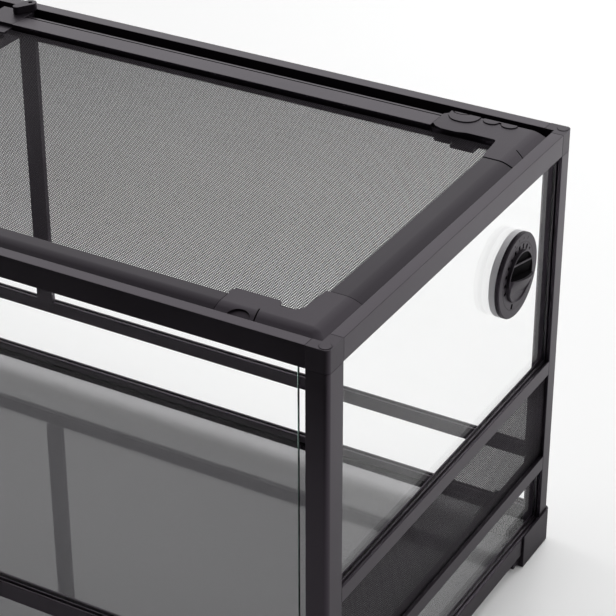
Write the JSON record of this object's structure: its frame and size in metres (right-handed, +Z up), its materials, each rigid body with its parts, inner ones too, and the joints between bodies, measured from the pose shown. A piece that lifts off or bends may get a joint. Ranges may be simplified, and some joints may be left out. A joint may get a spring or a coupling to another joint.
{
  "type": "glass terrarium",
  "caption": "Long glass terrarium in a black knock-down frame, with sliding front doors, mesh side vents, a round vent port and a lift-off mesh lid with cable inlets.",
  "frame": {"origin": "on the standing surface under the middle of the frame", "axes": "+X to the right along the length, +Y to the back, +Z up"},
  "size_m": [1.2155, 0.454, 0.463],
  "materials": {
    "rail": "satin black extrusion",
    "moulded": "fine matt black moulding",
    "net": "black coated wire mesh",
    "glass": "clear float glass with green edges",
    "smoked_glass": "smoked glass floor",
    "rim": "grey rim"
  },
  "bodies": {
    "frame": {"back_belt": "rail", "back_bottom_rail": "rail", "back_left_post": "rail", "back_lower_glass": "glass", "back_mullion": "rail", "back_right_post": "rail", "back_upper_glass": "glass", "floor_glass": "smoked_glass", "foot_back_left": "moulded", "foot_back_right": "moulded", "foot_front_left": "moulded", "foot_front_right": "moulded", "front_belt": "rail", "front_bottom_rail": "rail", "front_left_post": "rail", "front_lower_glass": "glass", "front_right_post": "rail", "left_belt": "rail", "left_bottom_rail": "rail", "left_lower_glass": "glass", "left_upper_glass": "glass", "left_vent_net": "net", "left_vent_rail": "rail", "port_bezel": "moulded", "port_rim": "rim", "right_belt": "rail", "right_bottom_rail": "rail", "right_lower_glass": "glass", "right_upper_glass": "glass", "right_vent_net": "net", "right_vent_rail": "rail", "top_back_left_corner": "moulded", "top_back_rail": "rail", "top_back_right_corner": "moulded", "top_crossbar": "rail", "top_front_left_corner": "moulded", "top_front_rail": "rail", "top_front_right_corner": "moulded", "top_left_rail": "rail", "top_right_rail": "rail"},
    "right_door": {"right_door": "glass"},
    "left_door": {"left_door": "glass"},
    "lid": {"lid_back_corner_left": "moulded", "lid_back_corner_right": "moulded", "lid_back_coupler": "moulded", "lid_back_rail_left": "rail", "lid_back_rail_right": "rail", "lid_front_corner_left": "moulded", "lid_front_corner_right": "moulded", "lid_front_rail": "rail", "lid_net": "net", "lid_side_rail_left": "rail", "lid_side_rail_right": "rail"},
    "latch": {"lid_latch": "moulded"},
    "port_dial": {"port_dial": "moulded"},
    "inlet_cover_large_left": {"inlet_cover_large_left": "moulded"},
    "inlet_cover_large_right": {"inlet_cover_large_right": "moulded"},
    "inlet_cover_pair_left": {"inlet_cover_pair_left": "moulded"},
    "inlet_cover_pair_right": {"inlet_cover_pair_right": "moulded"}
  },
  "joints": [
    {"name": "right_door_slide", "type": "slide", "parent": "frame", "child": "right_door", "axis": [1, 0, 0], "range_m": [-0.5626, 0.006]},
    {"name": "left_door_slide", "type": "slide", "parent": "frame", "child": "left_door", "axis": [1, 0, 0], "range_m": [0, 0.5686]},
    {"name": "lid_lift", "type": "slide", "parent": "frame", "child": "lid", "axis": [0, 0, 1], "range_m": [0, 0.25]},
    {"name": "latch_turn", "type": "hinge", "parent": "lid", "child": "latch", "pos_m": [0.011, 0.208, 0.4592], "axis": [0, 0, 1], "range_deg": [0, 90]},
    {"name": "port_dial_turn", "type": "hinge", "parent": "frame", "child": "port_dial", "pos_m": [0.603, 0.1125, 0.3573], "axis": [1, 0, 0], "range_deg": [0, 150]},
    {"name": "inlet_cover_large_left_flip", "type": "hinge", "parent": "lid", "child": "inlet_cover_large_left", "pos_m": [-0.5048, 0.2022, 0.455], "axis": [-1, 0, 0], "range_deg": [0, 95]},
    {"name": "inlet_cover_pair_left_flip", "type": "hinge", "parent": "lid", "child": "inlet_cover_pair_left", "pos_m": [-0.5401, 0.2022, 0.455], "axis": [-1, 0, 0], "range_deg": [0, 95]},
    {"name": "inlet_cover_large_right_flip", "type": "hinge", "parent": "lid", "child": "inlet_cover_large_right", "pos_m": [0.5048, 0.2022, 0.455], "axis": [-1, 0, 0], "range_deg": [0, 95]},
    {"name": "inlet_cover_pair_right_flip", "type": "hinge", "parent": "lid", "child": "inlet_cover_pair_right", "pos_m": [0.5401, 0.2022, 0.455], "axis": [-1, 0, 0], "range_deg": [0, 95]}
  ]
}
